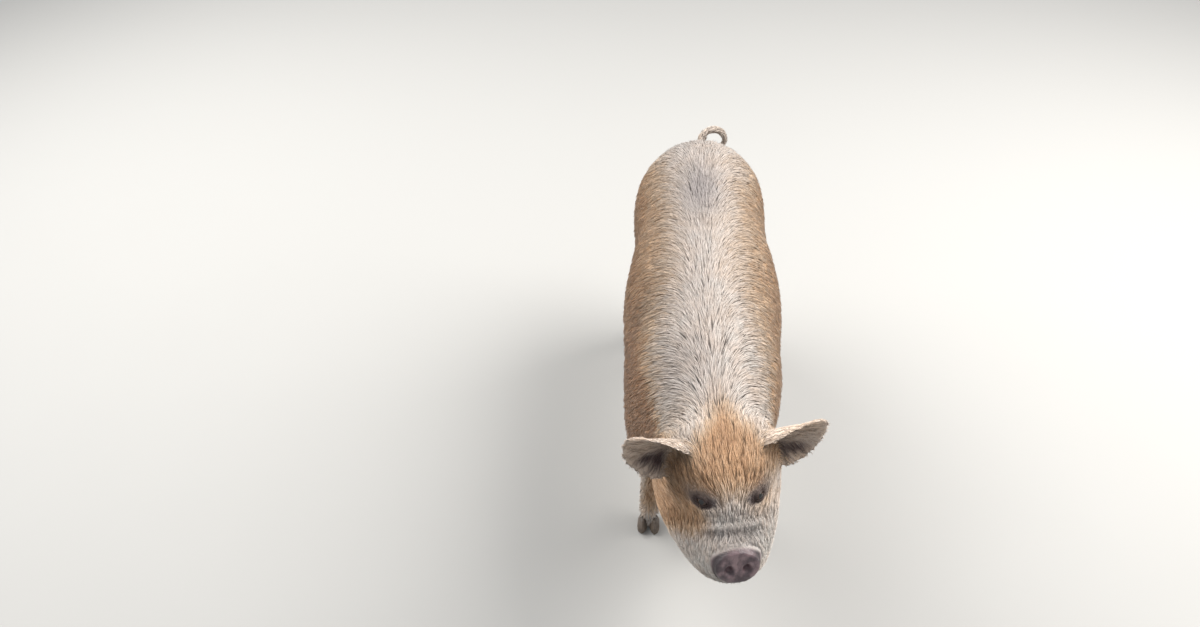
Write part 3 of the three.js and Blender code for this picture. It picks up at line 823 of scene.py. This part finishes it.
for claw in [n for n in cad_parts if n.split("_")[0] in ("hoof", "dewclaw")]:
    form, _ = joined_solids([claw])
    claw_mesh = bpy.data.meshes.new(claw)
    form.to_mesh(claw_mesh)
    form.free()
    horn = shown(claw + "_horn", claw_mesh)
    with_modifier(horn, "REMESH", mode="VOXEL", voxel_size=HORN_GRAIN)
    worn = Web(horn.data).relax(places(horn.data), HORN_WEAR)
    worn[:, 2] = np.maximum(worn[:, 2], 0)
    move_to(horn.data, worn)
    horn.data.shade_smooth()
    horn.data.materials.clear()
    horn.data.materials.append(horn_finish)
    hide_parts(claw)
    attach(horn, "root")


# The coat: bristly hair in thin locks, each a three-sided blade rooted just under the skin and
# lying along the body, its tip raised to the outline. Each value is a lock's length, width and
# rise, and how many there are to a square metre. Lids, snout and hooves are left clear.
COAT_LOCKS = 139000
LOCKS = {
    "trunk": (0.038, 0.0019, 0.0080, 165e3), "neck": (0.034, 0.0019, 0.0075, 170e3),
    "head": (0.024, 0.0013, 0.0042, 200e3), "muzzle": (0.0130, 0.0008, 0.0032, 300e3),
    "disc": (0.006, 0.0006, 0.0012, 300e3), "ear": (0.012, 0.0010, 0.0018, 150e3),
    "leg": (0.020, 0.0015, 0.0055, 80e3), "tail": (0.014, 0.0012, 0.0026, 150e3),
    "horn": (0.006, 0.0012, 0.0010, 0),
}
ROOT_DEPTH = 0.0005
SWERVE = 0.085
LID_CLEAR = 0.0078
lock_sizes = sum(weights[name][:, None] * np.array(sizes) for name, sizes in LOCKS.items())
length, width, rise, crowd = lock_sizes.T
near_lid = smoothstep(0.0105, 0.026, lid_ring)
length *= 0.22 + 0.78 * near_lid
width *= 0.45 + 0.55 * near_lid
rise *= 0.25 + 0.75 * near_lid
crowd *= (1 + 0.8 * (1 - near_lid)) * (lid_ring > LID_CLEAR)
brow = smoothstep(0.055, 0.0, face[:, 1]) * (weights["head"] + weights["muzzle"])
length *= 1 - 0.35 * (weights["head"] * (1 - brow))
length *= 1 - 0.25 * ear_edge
belly = smoothstep(115, 140, away) * body_at
crowd *= 1 - 0.38 * belly
crowd *= 1 - 0.65 * inside_ear * (1 - ear_edge)
crowd *= (1 - smoothstep(0.0, 0.5, snout)) * (1 - smoothstep(0.5, 0.9, weights["disc"]))
crowd *= 1 - smoothstep(0.30, 0.60, weights["horn"])

mesh.calc_loop_triangles()
corners = np.empty(len(mesh.loop_triangles) * 3, dtype=np.int32)
mesh.loop_triangles.foreach_get("vertices", corners)
corners = corners.reshape(-1, 3)
a, b, c = spots[corners].transpose(1, 0, 2)
spread_area = np.linalg.norm(np.cross(b - a, c - a), axis=1) / 2
wanted = spread_area * crowd[corners].mean(1)
steps = np.cumsum(wanted * COAT_LOCKS / wanted.sum())
home = np.searchsorted(steps, np.arange(COAT_LOCKS) + rng.random(COAT_LOCKS))
home = np.minimum(home, len(corners) - 1)
first = np.sqrt(rng.random(COAT_LOCKS))
second = rng.random(COAT_LOCKS)
shares = np.stack([1 - first, first * (1 - second), first * second], 1)


def at_roots(values):
    return np.einsum("nk,nk...->n...", shares, values[corners[home]])


hide_tree = BVHTree.FromPolygons(spots.tolist(), corners.tolist())


def on_hide(points):
    found = [hide_tree.find_nearest(p) for p in points]
    nearest = np.array([place for place, _, _, _ in found])
    index = np.array([facet for _, _, facet, _ in found])
    return nearest, unit(out[corners[index]].mean(1)), unit(lie[corners[index]].mean(1))


roots = at_roots(spots)
root_up = unit(at_roots(out))
heading = at_roots(lie)
swerve = rng.normal(0, SWERVE, COAT_LOCKS)[:, None]
heading = unit(heading + swerve * np.cross(root_up, heading))
lock_length = at_roots(length) * rng.uniform(0.7, 1.3, COAT_LOCKS)
lock_width = at_roots(width) * rng.uniform(0.75, 1.25, COAT_LOCKS)
lock_rise = at_roots(rise) * rng.uniform(0.35, 1.0, COAT_LOCKS)


# Each lock bends over the hide at about half its length. Those on the rim of an ear run partly
# straight on, as a fringe. Locks draw together in clumps, so darker partings show between them.
BEND_AT = 0.48
FRINGE = 0.55
CLUMP_EVERY = 11
MIDDLE_RISE = 0.62
MIDDLE_DRAW = 0.40
TIP_DRAW = 0.70
middles, middle_up, middle_lie = on_hide(roots + heading * (BEND_AT * lock_length)[:, None])
bend = unit(middle_lie + swerve * np.cross(middle_up, middle_lie))
tips, tip_up, _ = on_hide(middles + bend * ((1 - BEND_AT) * lock_length)[:, None])
fringe = FRINGE * at_roots(ear_edge)[:, None]
middles += fringe * (roots + heading * (BEND_AT * lock_length)[:, None] - middles)
tips += fringe * (roots + heading * lock_length[:, None] - tips)

clump_of = rng.permutation(COAT_LOCKS)[: COAT_LOCKS // CLUMP_EVERY]
clumps = KDTree(len(clump_of))
for i, root in enumerate(roots[clump_of]):
    clumps.insert(root, i)
clumps.balance()
clump = np.array([clumps.find(root)[1] for root in roots])
beside = np.cross(root_up, heading)
astray = ((roots - roots[clump_of[clump]]) * beside).sum(1)[:, None] * beside
clump_tint = rng.normal(0, 1, len(clump_of))[clump]
clump_rise = rng.uniform(0.7, 1.15, len(clump_of))[clump]
lock_rise *= clump_rise
middles = middles + middle_up * (MIDDLE_RISE * lock_rise)[:, None] - MIDDLE_DRAW * astray
tips = tips + tip_up * lock_rise[:, None] - TIP_DRAW * astray
lock_tint = 0.6 * clump_tint + 0.5 * rng.normal(0, 1, COAT_LOCKS)


# A lock is seven points: a ring of three at the root, a wider ring at the bend, and the tip.
# Its patch of the unwrap lies at the root's own place and is as small as the lock is thin.
ROOT_HALF = 0.42
MIDDLE_HALF = 0.5
BLADE_HEIGHT = 0.7
POINTS = 7
LOCK_FACES = (
    (0, 1, 4, 3), (1, 2, 5, 4), (2, 0, 3, 5), (3, 4, 6), (4, 5, 6), (5, 3, 6), (0, 2, 1),
)
LOCK_CORNERS = np.array([i for f in LOCK_FACES for i in f])
LOCK_ALONG = np.array((0, 0, 0, 0.48, 0.48, 0.48, 1))
LOCK_ACROSS = np.array((0.5, 0, -0.5, 0.5, 0, -0.5, 0))
PATCH = 0.003
roll = rng.uniform(-0.6, 0.6, COAT_LOCKS)[:, None]


def ring_of(centre, up, ahead, half):
    beside = unit(np.cross(up, ahead))
    flat = unit(beside + roll * up)
    ridge_up = unit(np.cross(ahead, flat))
    half = half[:, None]
    return [centre + flat * half, centre + ridge_up * half * BLADE_HEIGHT, centre - flat * half]


sunk = roots - root_up * ROOT_DEPTH
lock_points = np.stack(
    ring_of(sunk, root_up, unit(middles - sunk), lock_width * ROOT_HALF)
    + ring_of(middles, middle_up, unit(tips - sunk), lock_width * MIDDLE_HALF) + [tips], 1,
)
patch_u = LOCK_ACROSS[LOCK_CORNERS] * PATCH
patch_v = LOCK_ALONG[LOCK_CORNERS] * PATCH
patch_v[-1] = 0.3 * PATCH
lock_markings_and_shade = at_roots(markings_and_shade)
lock_own = rng.random(COAT_LOCKS)
# How far the painted shade at the root is lessened, most on the muzzle, snout and ears.
lock_lift = at_roots(
    0.60 * (weights["muzzle"] + weights["disc"]) + 0.60 * weights["ear"]
    + 0.25 * weights["head"] + 0.35 * weights["leg"]
)


# The finish of the hair: the skin's markings, darker at the root as painted shade in the partings
# between locks and paler at the tip, with a tint of its own for each lock and fine streaks of
# single hairs along it.
ROOT_SHADE = 0.46
TIP_SHADE = 1.10
TINT_WARMTH = 0.070
STREAKS_ACROSS = 1.6
STREAKS_ALONG = 0.35
hair_finish, tree, shader = finish_named("coat", Sheen_Weight=0.12, Specular_IOR_Level=0.35)
strand_vector, (_, along_part, tint_part) = split(tree, "strand")
stretched = tree.nodes.new("ShaderNodeVectorMath")
stretched.operation = "MULTIPLY"
stretched.inputs[1].default_value = (STREAKS_ACROSS, STREAKS_ALONG, 1)
tree.links.new(strand_vector, stretched.inputs[0])
streaks = node(tree, "TexNoise", Scale=5.0, Detail=2)
tree.links.new(stretched.outputs[0], streaks.inputs["Vector"])
hairs = streaks.outputs[0]
# Painted shade: each lock darkens towards its root, between the locks.
along_shade = ranged(tree, along_part, ROOT_SHADE, TIP_SHADE)
hair_shade = ranged(tree, hairs, 0.74, 1.18, 0.3, 0.7)
lock_shade = ranged(tree, tint_part, 1.08, 0.90, -2, 2)
toned = worked_out(tree, "MULTIPLY", along_shade, hair_shade)
toned = worked_out(tree, "MULTIPLY", toned, lock_shade)
tint_amount = worked_out(tree, "MULTIPLY", tint_part, TINT_WARMTH)
tree.links.new(scaled(tree, coloured(tree, tint_amount), toned), shader["Base Color"])
tree.links.new(ranged(tree, hairs, 0.42, 0.68), shader["Roughness"])
tree.links.new(bumped(tree, hairs, 0.0003, 0.5), shader["Normal"])


# The coat is laid in pieces, one or more to each part of the body. A piece's unwrap spreads its
# locks by two measures of the skin under it, such as along the back and round the side.
def spread_out(values):
    low, high = values.min(), values.max()
    return 0.02 + 0.955 * (values - low) / (high - low)


def lay_coat(name, chosen, place_u, place_v):
    chosen = np.nonzero(chosen)[0]
    count = len(chosen)
    locks = bpy.data.meshes.new(name)
    locks.vertices.add(count * POINTS)
    locks.vertices.foreach_set("co", lock_points[chosen].astype(np.float32).ravel())
    loops = (LOCK_CORNERS + POINTS * np.arange(count)[:, None]).astype(np.int32).ravel()
    locks.loops.add(len(loops))
    locks.loops.foreach_set("vertex_index", loops)
    per_lock = np.cumsum([0] + [len(f) for f in LOCK_FACES])
    starts = (per_lock[:-1] + per_lock[-1] * np.arange(count)[:, None]).astype(np.int32)
    locks.polygons.add(count * len(LOCK_FACES))
    locks.polygons.foreach_set("loop_start", starts.ravel())
    locks.update(calc_edges=True)
    locks.shade_smooth()
    keep_vectors(locks, "markings_and_shade", np.repeat(lock_markings_and_shade[chosen], POINTS, axis=0))
    lift = lock_lift[chosen, None]
    strand = np.empty((count, POINTS, 3))
    strand[:, :, 0] = LOCK_ACROSS + 60 * lock_own[chosen, None]
    strand[:, :, 1] = lift + (1 - lift) * LOCK_ALONG
    strand[:, :, 2] = lock_tint[chosen, None]
    keep_vectors(locks, "strand", strand.reshape(-1, 3))
    u = spread_out(place_u[chosen])[:, None] + patch_u
    v = spread_out(place_v[chosen])[:, None] + patch_v
    locks.uv_layers.new(name="OFBake")
    locks.uv_layers["OFBake"].data.foreach_set("uv", np.stack([u, v], 2).astype(np.float32).ravel())
    locks.materials.append(hair_finish)
    piece = shown(name, locks)
    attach(piece, "root")


BELLY_FROM = np.radians(125)
region_at = np.argmax(np.stack([at_roots(weights[name]) for name in REGION_NAMES], 1), 1)
part = {name: region_at == i for i, name in enumerate(REGION_NAMES)}
lengthwise = roots[:, 1]
root_turn = wrapped(roots)
round_side = np.abs(root_turn)
underneath = round_side > BELLY_FROM
upper_body = part["trunk"] & ~underneath
for name, on_side in (("left", root_turn > 0), ("right", root_turn <= 0)):
    flank = upper_body & on_side
    ahead = lengthwise < np.median(lengthwise[flank])
    lay_coat(f"coat_{name}_shoulder", flank & ahead, lengthwise, round_side)
    lay_coat(f"coat_{name}_quarter", flank & ~ahead, lengthwise, round_side)
round_belly = (root_turn + 2 * math.pi) % (2 * math.pi)
lay_coat("coat_belly", part["trunk"] & underneath, lengthwise, round_belly)
lay_coat("coat_neck", part["neck"], lengthwise, root_turn)

root_face = on_face(roots)
head_part = part["head"] | part["muzzle"] | part["disc"]
round_head = np.arctan2(root_face[:, 0], root_face[:, 2])
before_brow = root_face[:, 1] >= np.median(root_face[head_part, 1])
lay_coat("coat_face", head_part & before_brow, root_face[:, 1], round_head)
lay_coat("coat_poll", head_part & ~before_brow, root_face[:, 1], round_head)

LEGS_PART_AT = 0.1
LEG_MIDDLE = -0.01
leg_part = part["leg"] | part["horn"]
for end, of_end in (("front", lengthwise < LEGS_PART_AT), ("hind", lengthwise >= LEGS_PART_AT)):
    for name, on_side in (("left", roots[:, 0] > LEG_MIDDLE), ("right", roots[:, 0] <= LEG_MIDDLE)):
        bone = middle(f"leg_{end}_{name}")
        round_leg = np.arctan2(roots[:, 1] - bone[1], roots[:, 0] - bone[0])
        lay_coat(f"coat_leg_{end}_{name}", leg_part & of_end & on_side, round_leg, roots[:, 2])

ear_far = np.abs(root_face[:, 0])
ear_face = roots[:, 2] + 0.3 * (at_roots(inside_ear) > 0.5)
lay_coat("coat_ear_left", part["ear"] & (root_face[:, 0] > 0), ear_far, ear_face)
lay_coat("coat_ear_right", part["ear"] & (root_face[:, 0] <= 0), ear_far, ear_face)
round_tail = np.arctan2(roots[:, 2] - tail_middle[2], roots[:, 0] - tail_middle[0])
lay_coat("coat_tail", part["tail"], round_tail, lengthwise)


# The floor and the light: a plain pale floor under a large soft lamp high on the pig's left,
# with a weaker one opposite and an even pale sky all round.
FLOOR_HALF = 12
FLOOR_COLOUR = (0.40, 0.40, 0.39, 1)
FLOOR_CORNERS = ((-1, -1), (1, -1), (1, 1), (-1, 1))
SKY_COLOUR = (0.95, 0.965, 1.0, 1)
SKY_STRENGTH = 0.56
floor_mesh = bpy.data.meshes.new("floor")
floor_mesh.from_pydata([(x * FLOOR_HALF, y * FLOOR_HALF, 0) for x, y in FLOOR_CORNERS], [], [(0, 1, 2, 3)])
floor = shown("floor", floor_mesh)
floor_finish, tree, shader = finish_named("floor", Base_Color=FLOOR_COLOUR)
fleck = at_object(tree, node(tree, "TexNoise", Scale=3, Detail=4))[0]
tree.links.new(ranged(tree, fleck, 0.7, 0.9), shader["Roughness"])
floor_mesh.materials.append(floor_finish)


def soft_lamp(name, at, towards, size, watts, colour):
    lamp = bpy.data.lights.new(name, "AREA")
    lamp.size = size
    lamp.energy = watts
    lamp.color = colour
    holder = bpy.data.objects.new(name, lamp)
    holder.location = at
    aim = Vector(towards) - Vector(at)
    holder.rotation_euler = aim.to_track_quat("-Z", "Y").to_euler()
    bpy.context.scene.collection.objects.link(holder)


soft_lamp("key", (1.85, 0.65, 2.4), (0, -0.05, 0.35), 2.2, 150, (1.0, 0.965, 0.925))
soft_lamp("fill", (-1.9, 0.9, 2.2), (0, -0.1, 0.3), 2.4, 100, (1.0, 0.975, 0.94))
sky = bpy.data.worlds.new("sky")
sky.use_nodes = True
sky.node_tree.nodes["Background"].inputs["Color"].default_value = SKY_COLOUR
sky.node_tree.nodes["Background"].inputs["Strength"].default_value = SKY_STRENGTH
bpy.context.scene.world = sky
bpy.context.scene.view_settings.view_transform = "Standard"

bpy.context.view_layer.update()
